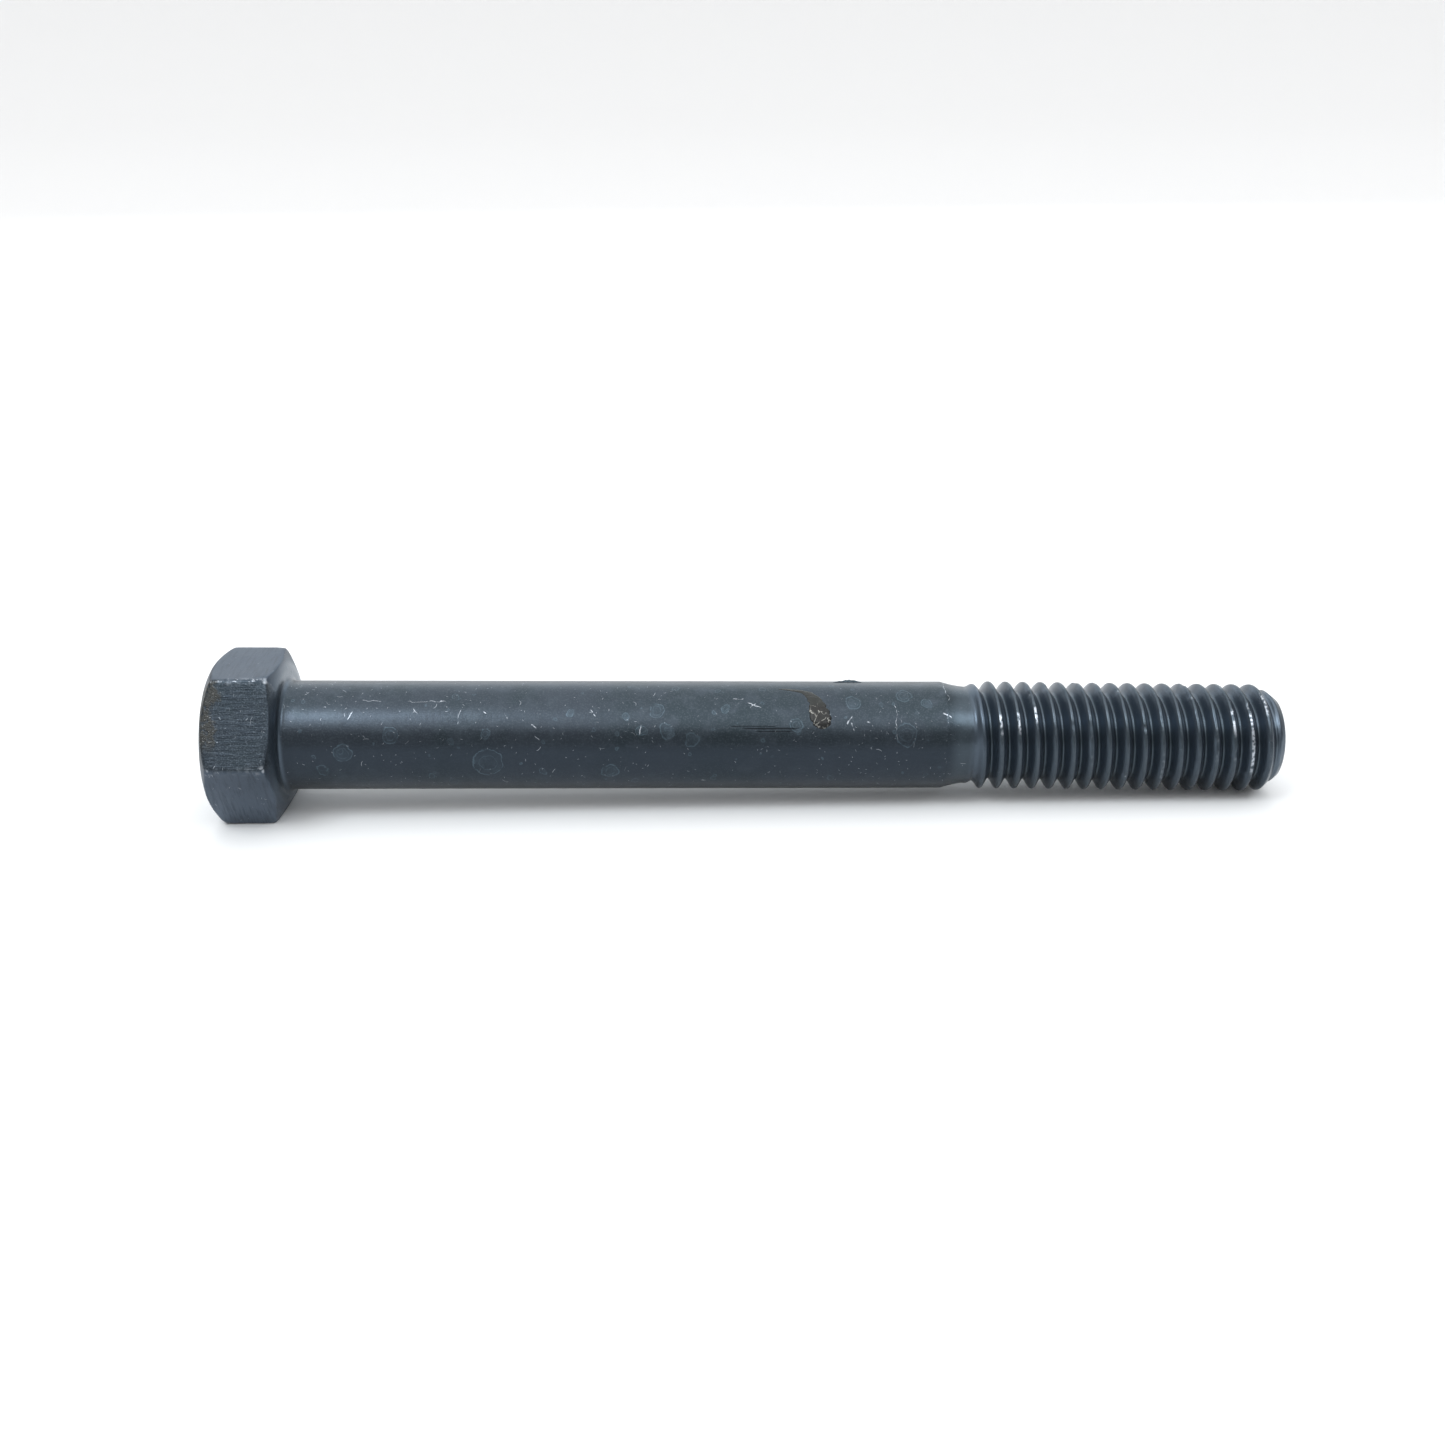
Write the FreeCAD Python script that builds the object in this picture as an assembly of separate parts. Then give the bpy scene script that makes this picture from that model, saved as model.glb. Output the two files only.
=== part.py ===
import FreeCAD, Part
import math
import os

from FreeCAD import Vector

# Hex cap screw, 7/16-14 UNC x 4 in, right-hand thread, forged and rolled as one piece of steel.
# Frame: the axis is X. The origin is the centre of the bearing (washer) face, the shank points
# to +X, the head is on the -X side, and one flat of the hexagon faces +Z. Millimetres.

# Driving dimensions
INCH = 25.4
LENGTH_UNDER_HEAD = 101.20
BODY_DIAMETER = 11.04
ACROSS_FLATS = 15.75
ACROSS_CORNERS = 18.00
HEAD_HEIGHT = 7.25
WASHER_FACE_DIAMETER = 14.20
WASHER_FACE_THICKNESS = 0.30
HEAD_TOP_DIAMETER = 14.90
HEAD_CHAMFER_ANGLE = 30.0
UNDERSIDE_CHAMFER_ANGLE = 12.0
FILLET_RADIUS = 0.62

THREADS_PER_INCH = 14
THREAD_LENGTH = 1.125 * INCH
MAJOR_DIAMETER = 10.99
PITCH_DIAMETER = 9.86
MINOR_DIAMETER = 8.90
FLANK_ANGLE = 30.0
NECK_DIAMETER = 9.94
SHOULDER_START = 66.50
SHOULDER_END = 69.00
RUN_OUT_PITCHES = 1.25
POINT_DIAMETER = 7.90
POINT_LENGTH = 1.85

# The thread's construction solids: how deep the ridge's foot is sunk into the core, how far the
# envelope clears the crest, how far ridge and core overrun the thread, and where the seams of
# the turned solids stand around the axis, kept apart so that no two of them meet
BURIED_DEPTH = 0.15
CLEAR_OF_CREST = 0.05
LEAD_IN_TURNS = 0.6
LEAD_OUT_TURNS = 0.7
OVERRUN = 3.0
CORE_SEAM_ANGLE = 111.0
ENVELOPE_SEAM_ANGLE = 37.0

# Worked out from the driving dimensions
PITCH = INCH / THREADS_PER_INCH
THREAD_START = LENGTH_UNDER_HEAD - THREAD_LENGTH - RUN_OUT_PITCHES * PITCH
RUN_OUT_END = THREAD_START + RUN_OUT_PITCHES * PITCH
BODY_RADIUS = BODY_DIAMETER / 2
NECK_RADIUS = NECK_DIAMETER / 2
MAJOR_RADIUS = MAJOR_DIAMETER / 2
PITCH_RADIUS = PITCH_DIAMETER / 2
MINOR_RADIUS = MINOR_DIAMETER / 2
POINT_RADIUS = POINT_DIAMETER / 2
ORIGIN = Vector(0, 0, 0)
AXIS = Vector(1, 0, 0)


def turned(outline):
    """Solid of revolution about X from an outline of (x, radius) points, closed along the axis."""
    edges = []
    for start, end in zip(outline, outline[1:]):
        edges.append(Part.makeLine(Vector(start[0], 0, start[1]), Vector(end[0], 0, end[1])))
    first, last = outline[0], outline[-1]
    edges.append(Part.makeLine(Vector(last[0], 0, last[1]), Vector(last[0], 0, 0)))
    edges.append(Part.makeLine(Vector(last[0], 0, 0), Vector(first[0], 0, 0)))
    edges.append(Part.makeLine(Vector(first[0], 0, 0), Vector(first[0], 0, first[1])))
    face = Part.Face(Part.Wire(edges))
    return face.revolve(ORIGIN, AXIS, 360)


def hexagon_prism():
    """Hexagon bar with a flat towards +Z, its corners turned down to the diameter across corners."""
    corner_radius = ACROSS_FLATS / math.sqrt(3)
    corners = []
    for index in range(7):
        angle = math.radians(60 * index)
        corners.append(Vector(-HEAD_HEIGHT, corner_radius * math.cos(angle), corner_radius * math.sin(angle)))
    hexagon = Part.Face(Part.makePolygon(corners))
    return hexagon.extrude(AXIS * (HEAD_HEIGHT - WASHER_FACE_THICKNESS))


def head():
    """The hexagon, chamfered at the top and lightly on the underside, with its washer face."""
    top_radius = HEAD_TOP_DIAMETER / 2
    washer_radius = WASHER_FACE_DIAMETER / 2
    corner_radius = ACROSS_CORNERS / 2
    top_chamfer = (corner_radius - top_radius) * math.tan(math.radians(HEAD_CHAMFER_ANGLE))
    under_chamfer = (corner_radius - washer_radius) * math.tan(math.radians(UNDERSIDE_CHAMFER_ANGLE))
    envelope = turned([
        (-HEAD_HEIGHT, top_radius),
        (-HEAD_HEIGHT + top_chamfer, corner_radius),
        (-WASHER_FACE_THICKNESS - under_chamfer, corner_radius),
        (-WASHER_FACE_THICKNESS, washer_radius),
    ])
    washer_face = turned([(-WASHER_FACE_THICKNESS - 1.0, washer_radius), (0, washer_radius)])
    return hexagon_prism().common(envelope).fuse(washer_face)


def shank():
    """Plain body from inside the head to the neck, with the fillet under the head and the shoulder."""
    fillet_edge = BODY_RADIUS + FILLET_RADIUS
    fillet_middle = FILLET_RADIUS * (1 - math.sqrt(0.5))
    body = turned([
        (-1.0, BODY_RADIUS),
        (SHOULDER_START, BODY_RADIUS),
        (SHOULDER_END, NECK_RADIUS),
        (THREAD_START, NECK_RADIUS),
    ])
    arc = Part.Arc(
        Vector(0, 0, fillet_edge),
        Vector(fillet_middle, 0, BODY_RADIUS + fillet_middle),
        Vector(FILLET_RADIUS, 0, BODY_RADIUS),
    ).toShape()
    foot = Part.makePolygon([
        Vector(FILLET_RADIUS, 0, BODY_RADIUS),
        Vector(FILLET_RADIUS, 0, BODY_RADIUS - 1.0),
        Vector(-0.2, 0, BODY_RADIUS - 1.0),
        Vector(-0.2, 0, fillet_edge),
        Vector(0, 0, fillet_edge),
    ])
    ring = Part.Face(Part.Wire([arc] + foot.Edges)).revolve(ORIGIN, AXIS, 360)
    return body.fuse(ring)


def thread_half_width(radius):
    """Half the axial width of the thread ridge at a radius, for 60 degree flanks."""
    return PITCH / 4 - (radius - PITCH_RADIUS) * math.tan(math.radians(FLANK_ANGLE))


def thread_ridge():
    """One continuous right-hand ridge, longer than the thread at both ends, its foot sunk in the core."""
    buried_radius = MINOR_RADIUS - BURIED_DEPTH
    foot_half = thread_half_width(buried_radius)
    crest_half = thread_half_width(MAJOR_RADIUS)
    section = Part.makePolygon([
        Vector(buried_radius, 0, -foot_half),
        Vector(MAJOR_RADIUS, 0, -crest_half),
        Vector(MAJOR_RADIUS, 0, crest_half),
        Vector(buried_radius, 0, foot_half),
        Vector(buried_radius, 0, -foot_half),
    ])
    helix_length = LENGTH_UNDER_HEAD - THREAD_START + (LEAD_IN_TURNS + LEAD_OUT_TURNS) * PITCH
    helix = Part.makeHelix(PITCH, helix_length, PITCH_RADIUS)
    sweep = Part.BRepOffsetAPI.MakePipeShell(Part.Wire(helix.Edges))
    sweep.setFrenetMode(True)
    sweep.add(section)
    sweep.build()
    sweep.makeSolid()
    ridge = sweep.shape()
    ridge.rotate(ORIGIN, Vector(0, 1, 0), 90)
    ridge.translate(AXIS * (THREAD_START - LEAD_IN_TURNS * PITCH))
    return ridge


def thread():
    """The ridge on its core, cut back to the cone where it fades in and to the cone of the point."""
    core = turned([
        (THREAD_START - OVERRUN, NECK_RADIUS),
        (THREAD_START, NECK_RADIUS),
        (RUN_OUT_END, MINOR_RADIUS),
        (LENGTH_UNDER_HEAD + OVERRUN, MINOR_RADIUS),
    ])
    clear_radius = MAJOR_RADIUS + CLEAR_OF_CREST
    rise = (MAJOR_RADIUS - NECK_RADIUS) / (RUN_OUT_END - THREAD_START)
    fall = (MAJOR_RADIUS - POINT_RADIUS) / POINT_LENGTH
    envelope = turned([
        (THREAD_START, NECK_RADIUS),
        (RUN_OUT_END + CLEAR_OF_CREST / rise, clear_radius),
        (LENGTH_UNDER_HEAD - POINT_LENGTH - CLEAR_OF_CREST / fall, clear_radius),
        (LENGTH_UNDER_HEAD, POINT_RADIUS),
    ])
    core.rotate(ORIGIN, AXIS, CORE_SEAM_ANGLE)
    envelope.rotate(ORIGIN, AXIS, ENVELOPE_SEAM_ANGLE)
    return core.fuse(thread_ridge()).common(envelope)


def main():
    os.makedirs("parts", exist_ok=True)
    thread_solid = thread()
    least_volume = math.pi * MINOR_RADIUS**2 * THREAD_LENGTH
    if thread_solid.Volume < least_volume:
        raise RuntimeError("the thread came out without its core")
    bolt = head().fuse(shank()).fuse(thread_solid).Solids[0]
    print("hex_bolt", bolt.isValid(), round(bolt.Volume, 2), bolt.BoundBox)
    bolt.exportStep("parts/hex_bolt.step")


main()
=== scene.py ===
import math
import random
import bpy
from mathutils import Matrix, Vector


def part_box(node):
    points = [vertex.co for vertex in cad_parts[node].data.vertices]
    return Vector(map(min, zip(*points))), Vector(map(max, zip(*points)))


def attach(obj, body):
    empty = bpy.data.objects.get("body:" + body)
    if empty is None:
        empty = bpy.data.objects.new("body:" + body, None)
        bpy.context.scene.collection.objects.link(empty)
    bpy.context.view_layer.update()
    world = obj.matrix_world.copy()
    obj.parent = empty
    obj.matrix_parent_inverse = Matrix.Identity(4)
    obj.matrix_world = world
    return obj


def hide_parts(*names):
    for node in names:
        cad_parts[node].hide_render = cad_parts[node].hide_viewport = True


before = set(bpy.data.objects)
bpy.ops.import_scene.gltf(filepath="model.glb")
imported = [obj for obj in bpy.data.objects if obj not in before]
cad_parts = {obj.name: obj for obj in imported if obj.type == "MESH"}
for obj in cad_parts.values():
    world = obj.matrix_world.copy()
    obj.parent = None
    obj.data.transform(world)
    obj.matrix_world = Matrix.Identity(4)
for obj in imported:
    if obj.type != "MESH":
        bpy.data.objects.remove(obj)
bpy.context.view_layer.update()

from types import SimpleNamespace

import bpy
import numpy as np
from mathutils import Matrix, Vector, noise

# Everything is worked out in millimetres and turned into metres where it meets the mesh
MM = 0.001

# The frame's own sizes: head height, length under the head, half across flats, half across corners
LOW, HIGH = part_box("hex_bolt")
HEAD_HEIGHT = -LOW[0] / MM
LENGTH = HIGH[0] / MM
APOTHEM = HIGH[2] / MM
CORNER = HIGH[1] / MM

# Head
TOP_RADIUS = 7.32
TOP_ECCENTRICITY = 0.35
CHAMFER_SLOPE = 0.58
WASHER_RADIUS = 6.90
UNDERSIDE_DEPTH = 0.30
UNDERSIDE_SLOPE = 0.36
UNDERSIDE_LEAN = 0.60
FILLET = 0.62

# Body, shoulder and neck
BODY_RADIUS = 5.555
BODY_RADIUS_AT_SHOULDER = 5.48
SHOULDER_START = 66.5
SHOULDER_END = 69.0
NECK_RADIUS = 4.98

# Thread
PITCH = 25.4 / 14
CREST_RADIUS = 5.53
ROOT_RADIUS = 4.47
THREAD_START = 68.93
RUN_OUT = 1.05 * PITCH
FIRST_CREST = 0.70
POINT_LENGTH = 1.85
POINT_RADIUS = 4.10
THREAD_END = LENGTH - 0.70
DROOP = 0.0105

# The camera looks at the bolt from above, a little from the head's side, so the point is farther
CAMERA_ELEVATION = math.radians(23.4)
CAMERA_YAW = math.radians(1.8)
CAMERA_DISTANCE = 165.0
CAMERA_ALONG = 44.10
CAMERA_RAISED = 1.24
CAMERA_LENS = 39.93

# The mesh: columns around the bolt, rows to a pitch, and pitches that the helical rows are made for
COLUMNS = 240
ROWS_PER_PITCH = 12
HELIX_PITCHES = 22

# How strongly the columns bunch at the hexagon's corners, and how sharp these are
CORNER_BUNCHING = 0.105
CORNER_POWER = 90

# Rows between the fillet and the shoulder, rows over the shoulder and the step between those
BODY_STEPS = 104
SHOULDER_ROWS = 12
SHOULDER_STEP = 0.2

# Knocks on the body and on the thread, and the radius that the skin's noise is taken at
BODY_KNOCKS = 46
THREAD_KNOCKS = 60
NOISE_RADIUS = 5.5

rng = random.Random(11)


# ---------------------------------------------------------------- places around the bolt

def seen_angle(from_image_up):
    """Angle round the bolt, from +Z towards the camera's side, of a place given from image-up."""
    return math.radians(from_image_up) - CAMERA_ELEVATION


def place(x, radius, angle):
    """Point in millimetres at a distance along the bolt, a radius and an angle from +Z towards -Y."""
    return Vector((x, -radius * math.sin(angle), radius * math.cos(angle)))


def smooth_step(low, high, value):
    """0 at low, 1 at high, smooth between; low may be the larger one."""
    t = min(1.0, max(0.0, (value - low) / (high - low)))
    return t * t * (3 - 2 * t)


def off_centre(radius, shift, angle, towards):
    """Radius, seen from the axis, of a circle whose centre is shifted towards an angle."""
    a = angle - towards
    return shift * math.cos(a) + math.sqrt(radius**2 - (shift * math.sin(a)) ** 2)


def roughness_noise(x, angle, size, seed):
    """Smooth noise from -1 to 1 over the bolt's skin, with features of about size millimetres."""
    p = place(x, NOISE_RADIUS, angle) / size
    return noise.noise(p + Vector((seed * 17.3, seed * 5.1, seed * 9.7)))


# ---------------------------------------------------------------- columns of the mesh

def column_angles():
    """Angles of the columns: closer together at the hexagon's corners."""
    per_side = COLUMNS // 6
    angles = []
    for side in range(6):
        for step in range(per_side):
            u = step / per_side
            bunched = u - CORNER_BUNCHING * math.sin(2 * math.pi * u)
            angles.append(math.radians(60 * (side + bunched) - 30))
    return angles


def hexagon_radius(angle):
    """The hexagon with its corners a little rounded."""
    total = sum(max(0.0, math.cos(angle - math.radians(60 * k))) ** CORNER_POWER for k in range(6))
    return APOTHEM / total ** (1 / CORNER_POWER)


def rounded_path(corners, runs):
    """Points along a path whose inner corners are rounded: corners are (x, r, cut), where cut is
    how far a corner is rounded back, and runs are the numbers of steps between them."""
    points = [Vector(corners[0][:2])]
    start = points[0]
    for index in range(1, len(corners)):
        corner = Vector(corners[index][:2])
        last = index == len(corners) - 1
        before = (corner - start).length
        if last:
            entry = corner
        else:
            following = Vector(corners[index + 1][:2])
            after = (following - corner).length
            cut = min(corners[index][2], 0.45 * before, 0.45 * after)
            entry = corner + (start - corner).normalized() * cut
            leaving = corner + (following - corner).normalized() * cut
        for step in range(1, runs[index - 1] + 1):
            points.append(start.lerp(entry, step / runs[index - 1]))
        if last:
            break
        for step in range(1, ROUNDING_STEPS + 1):
            t = step / ROUNDING_STEPS
            points.append(entry * (1 - t) ** 2 + corner * (2 * t * (1 - t)) + leaving * t**2)
        start = leaving
    return [(p[0], p[1]) for p in points]


# Rows of the mesh over the head: top, chamfer, side, underside, washer face, start of the fillet
HEAD_RUNS = [10, 3, 12, 3, 3, 1]
ROUNDING_STEPS = 3


def head_rows(angle):
    """From the centre of the head's top, over the chamfer and a side, to the start of the fillet."""
    hexagon = hexagon_radius(angle)
    top = off_centre(TOP_RADIUS, TOP_ECCENTRICITY, angle, seen_angle(175))
    chamfer_end = -HEAD_HEIGHT + (hexagon - top) * CHAMFER_SLOPE
    lean = (0.5 + 0.5 * math.cos(angle - seen_angle(195))) ** 8
    behind = max(0.0, -math.cos(angle - seen_angle(90)))
    slope = UNDERSIDE_SLOPE * (1 - 0.5 * behind)
    under = -slope * (hexagon - WASHER_RADIUS) - UNDERSIDE_LEAN * lean
    corners = [
        (-HEAD_HEIGHT, 0.0, 0.0),
        (-HEAD_HEIGHT, top, 0.30),
        (chamfer_end, hexagon, 0.25),
        (under, hexagon, 0.16),
        (-0.03 - 0.5 * UNDERSIDE_LEAN * lean, WASHER_RADIUS, 0.60),
        (0.0, BODY_RADIUS + FILLET + 0.12, 0.10),
        (0.01, BODY_RADIUS + FILLET - 0.06, 0.0),
    ]
    return rounded_path(corners, HEAD_RUNS)


def body_radius(x):
    """Radius of the plain body, shoulder and neck."""
    fall = (BODY_RADIUS_AT_SHOULDER - BODY_RADIUS) * x / SHOULDER_START
    plain = BODY_RADIUS + fall
    if x < FILLET:
        return plain + FILLET - math.sqrt(max(0.0, FILLET**2 - (FILLET - x) ** 2))
    t = min(1.0, max(0.0, (x - SHOULDER_START) / (SHOULDER_END - SHOULDER_START)))
    return plain + (NECK_RADIUS - plain) * (1 - (1 - t) ** 1.5)


def body_rows():
    """Places along the bolt of the rows from the fillet to the neck's end."""
    fillet = [FILLET * (1 - math.cos(math.radians(a))) for a in (22, 34, 46, 58, 70, 80)]
    reach = SHOULDER_START - 0.1 - FILLET
    plain = [FILLET + reach * k / BODY_STEPS for k in range(BODY_STEPS + 1)]
    shoulder = [SHOULDER_START + SHOULDER_STEP * k for k in range(SHOULDER_ROWS)]
    return fillet + plain + shoulder


# Half of the thread's section: distance along the bolt from the crest, and radius, per row
THREAD_HALF = [
    (0.000, CREST_RADIUS),
    (0.090, CREST_RADIUS - 0.013),
    (0.200, CREST_RADIUS - 0.100),
    (0.435, CREST_RADIUS - 0.475),
    (0.650, CREST_RADIUS - 0.825),
    (0.790, CREST_RADIUS - 1.005),
    (PITCH / 2, ROOT_RADIUS),
]


def thread_section():
    """The twelve rows of one pitch, as (distance from the crest, radius)."""
    rising = [(-d, r) for d, r in reversed(THREAD_HALF[1:-1])]
    return THREAD_HALF + [(d + PITCH, r) for d, r in rising]


def crest_wobble(x, angle):
    """How far the crest falls short of its full height, as rolling leaves it."""
    dips = max(0.0, roughness_noise(x, angle, 1.6, 3) - 0.28) * 0.20
    return 0.012 * roughness_noise(x, angle, 6.0, 4) - dips


def thread_radius(x, angle, section_radius):
    """The thread at a place: faded in at the run-out and cut back along the cone of the point."""
    fade = smooth_step(THREAD_START - 0.3, THREAD_START + RUN_OUT, x)
    height = (section_radius - ROOT_RADIUS) / (CREST_RADIUS - ROOT_RADIUS)
    radius = section_radius + crest_wobble(x, angle) * height**2
    radius = NECK_RADIUS + (radius - NECK_RADIUS) * fade
    return min(radius, cone_radius(x) + 0.03 * roughness_noise(x, angle, 1.2, 6))


def cone_radius(x):
    """Radius of the point's cone."""
    slope = (CREST_RADIUS - POINT_RADIUS) / POINT_LENGTH
    return POINT_RADIUS + (LENGTH - x) * slope


def knock_list():
    """Small knocks on the body, the thread's crests and the hexagon's corners: (point, size, depth)."""
    knocks = []
    for _ in range(BODY_KNOCKS):
        x = rng.uniform(2, SHOULDER_START)
        angle = rng.uniform(0, 2 * math.pi)
        knocks.append((place(x, BODY_RADIUS, angle), rng.uniform(0.25, 0.6), rng.uniform(0.015, 0.05)))
    for _ in range(THREAD_KNOCKS):
        x = rng.uniform(THREAD_START + 2, LENGTH - 1)
        angle = rng.uniform(0, 2 * math.pi)
        knocks.append((place(x, CREST_RADIUS, angle), rng.uniform(0.25, 0.55), rng.uniform(0.05, 0.16)))
    for side in range(6):
        angle = math.radians(60 * side + 30)
        for end in (-HEAD_HEIGHT + 0.8, -UNDERSIDE_DEPTH - 0.4):
            at = place(end + rng.uniform(-0.2, 0.2), CORNER, angle)
            knocks.append((at, rng.uniform(0.5, 0.9), rng.uniform(0.08, 0.2)))
    return knocks


def tip_rows():
    """From the thread's end over the point to the centre of the end face, as (x, radius)."""
    rim = POINT_RADIUS - 0.05
    cone = [(x, cone_radius(x)) for x in (LENGTH - d for d in (0.60, 0.48, 0.36, 0.24, 0.14))]
    rim_curve = [(LENGTH - 0.07, rim + 0.02), (LENGTH - 0.02, rim - 0.06), (LENGTH, rim - 0.16)]
    face = [(LENGTH, rim * f) for f in (0.86, 0.7, 0.54, 0.38, 0.22, 0.1)]
    return cone + rim_curve + face


# Where the keys of the helical rows and of the tip's rows start, and the key of the end's centre
HELIX_KEYS = 1000
TIP_KEYS = 9000
END_CENTRE_KEY = TIP_KEYS + 99


def build_columns(angles):
    """For each column its rows as (key, x, radius). Keys match between neighbouring columns."""
    section = thread_section()
    first_turn = FIRST_CREST + PITCH * math.floor(THREAD_START / PITCH - 2)
    columns = []
    for angle in angles:
        rows = [(key, x, r) for key, (x, r) in enumerate(head_rows(angle)) if key > 0]
        for x in body_rows():
            rows.append((len(rows) + 1, x, body_radius(x)))
        lead = first_turn + PITCH * (angle - angles[0]) / (2 * math.pi)
        for row in range(HELIX_PITCHES * ROWS_PER_PITCH):
            offset, radius = section[row % ROWS_PER_PITCH]
            x = lead + offset + PITCH * (row // ROWS_PER_PITCH)
            if THREAD_START < x < THREAD_END:
                rows.append((HELIX_KEYS + row, x, thread_radius(x, angle, radius)))
        for number, (x, r) in enumerate(tip_rows()):
            rows.append((TIP_KEYS + number, x, r))
        columns.append(rows)
    return columns


def stitch(left, right):
    """Faces between two neighbouring columns of (key, vertex): corners are (key, vertex, side)."""
    right_keys = {key for key, _ in right}
    faces = []
    a = 0
    b = 0
    while a < len(left) - 1 or b < len(right) - 1:
        next_left = left[a + 1][0] if a < len(left) - 1 else None
        next_right = right[b + 1][0] if b < len(right) - 1 else None
        if next_left == next_right:
            faces.append((left[a] + (0,), left[a + 1] + (0,), right[b + 1] + (1,), right[b] + (1,)))
            a += 1
            b += 1
        elif next_left is not None and next_left not in right_keys:
            faces.append((left[a] + (0,), left[a + 1] + (0,), right[b] + (1,)))
            a += 1
        else:
            faces.append((left[a] + (0,), right[b + 1] + (1,), right[b] + (1,)))
            b += 1
    return faces


# ---------------------------------------------------------------- the layout for baking

# A square sheet in millimetres: the centres of three flat discs, the corners of three unrolled
# strips, and how far the strips of the head's side and of the shank reach for one turn
SHEET = 84.0
TOP_DISC = (45.5, 63.5)
UNDER_DISC = (63.6, 63.5)
END_DISC = (78.0, 75.5)
SIDE_STRIP = (74.0, 10.0)
BODY_STRIP = (0.5, 1.0)
THREAD_STRIP = (37.0, 1.0)
SIDE_TURN = 56.0
SHANK_TURN = 35.0

# The rows after which one part of the layout ends and the next starts
TOP_LAST_KEY = HEAD_RUNS[0] + ROUNDING_STEPS
SIDE_LAST_KEY = sum(HEAD_RUNS[:3]) + 3 * ROUNDING_STEPS
UNDER_LAST_KEY = sum(HEAD_RUNS) + 5 * ROUNDING_STEPS
END_FIRST_KEY = TIP_KEYS + 7


def island_of(key):
    """Which part of the layout the skin after this row belongs to."""
    if key < TOP_LAST_KEY:
        return "top"
    if key < SIDE_LAST_KEY:
        return "side"
    if key < UNDER_LAST_KEY:
        return "under"
    if key < HELIX_KEYS:
        return "body"
    return "thread" if key < END_FIRST_KEY else "end"


def spot(island, turn, run, point):
    """Place in the layout, from 0 to 1, of a corner: discs lie flat, the rest is unrolled."""
    if island == "top":
        at = (TOP_DISC[0] + point[1], TOP_DISC[1] + point[2])
    elif island == "under":
        at = (UNDER_DISC[0] - point[1], UNDER_DISC[1] + point[2])
    elif island == "end":
        at = (END_DISC[0] - point[1], END_DISC[1] + point[2])
    elif island == "side":
        at = (SIDE_STRIP[0] + run, SIDE_STRIP[1] + SIDE_TURN * turn)
    elif island == "body":
        at = (BODY_STRIP[0] + SHANK_TURN * turn, BODY_STRIP[1] + run)
    else:
        at = (THREAD_STRIP[0] + SHANK_TURN * turn, THREAD_STRIP[1] + run)
    return (at[0] / SHEET, at[1] / SHEET)


def island_starts(column, arc):
    """Length along a column at which each unrolled part of the layout starts."""
    starts = {}
    for key, vertex in column:
        starts.setdefault(island_of(key), arc[vertex])
    return starts


# ---------------------------------------------------------------- skin: noise, knocks, wear

def knocked_in(points, normals, knocks):
    """Pushes the skin in at each knock, and returns how hard each point was hit, from 0 to 1."""
    hit = np.zeros(len(points))
    for at, size, depth in knocks:
        near = np.flatnonzero(np.abs(points[:, 0] - at.x) < 3 * size)
        away = np.linalg.norm(points[near] - np.array(at), axis=1) / size
        push = np.exp(-2.0 * away**2)
        points[near] -= normals[near] * (push * depth)[:, None]
        hit[near] = np.maximum(hit[near], push * min(1.0, depth / 0.08))
    return hit


def skin_offset(x, angle):
    """Forging unevenness of the skin, in millimetres outwards."""
    fine = 0.004 * roughness_noise(x, angle, 1.3, 1)
    broad = 0.010 * roughness_noise(x, angle, 7.0, 2)
    if x < -UNDERSIDE_DEPTH:
        return fine * 2 + broad + 0.030 * roughness_noise(x * 0.5, angle, 2.2, 5)
    return fine + broad * (0.6 if x < THREAD_START else 0.3)


def thread_height(x, radius):
    """0 in the thread's root, 1 on its crest, and 1 on the rest of the bolt."""
    if x < THREAD_START:
        return 1.0
    return min(1.0, max(0.0, (radius - ROOT_RADIUS) / (CREST_RADIUS - ROOT_RADIUS)))


# Crests rubbed bright: place along the bolt, angle from image-up, reach along and around
BRIGHT_CRESTS = [
    (75.6, 65, 0.8, 11), (73.9, 77, 0.8, 12), (72.0, 79, 0.8, 11), (70.2, 68, 0.8, 22),
    (91.5, 41, 0.8, 5), (95.8, 72, 0.8, 17), (97.4, 68, 0.8, 17), (97.5, 102, 0.8, 28),
    (98.8, 50, 0.9, 15),
]


def worn(x, angle, radius):
    """Where handling has rubbed the black finish thin: crests, hexagon corners and rims."""
    patch = 0.5 + 0.5 * roughness_noise(x, angle, 2.2, 8)
    fine = 0.5 + 0.5 * roughness_noise(x, angle, 0.45, 12)
    if x > THREAD_START:
        crest = smooth_step(0.93, 0.995, thread_height(x, radius))
        bright = 0.0
        for at, seen, along, around in BRIGHT_CRESTS:
            off = math.degrees(math.remainder(angle - seen_angle(seen), 2 * math.pi))
            bright = max(bright, smooth_step(1.2, 0.7, math.hypot((x - at) / along, off / around)))
        common = 0.03 + 0.30 * smooth_step(0.60, 0.80, patch) * smooth_step(0.45, 0.70, fine)
        return crest * max(common, bright * smooth_step(0.22, 0.45, fine))
    if x < -UNDERSIDE_DEPTH:
        edge = smooth_step(CORNER - 0.26, CORNER - 0.05, radius)
        end = max(smooth_step(1.3, 0.6, x + HEAD_HEIGHT), smooth_step(-1.5, -0.7, x))
        lumpy = smooth_step(0.45, 0.70, fine) * smooth_step(0.35, 0.65, patch)
        return edge * (0.20 * lumpy + 0.75 * end * smooth_step(0.46, 0.62, fine))
    return 0.0


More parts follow.
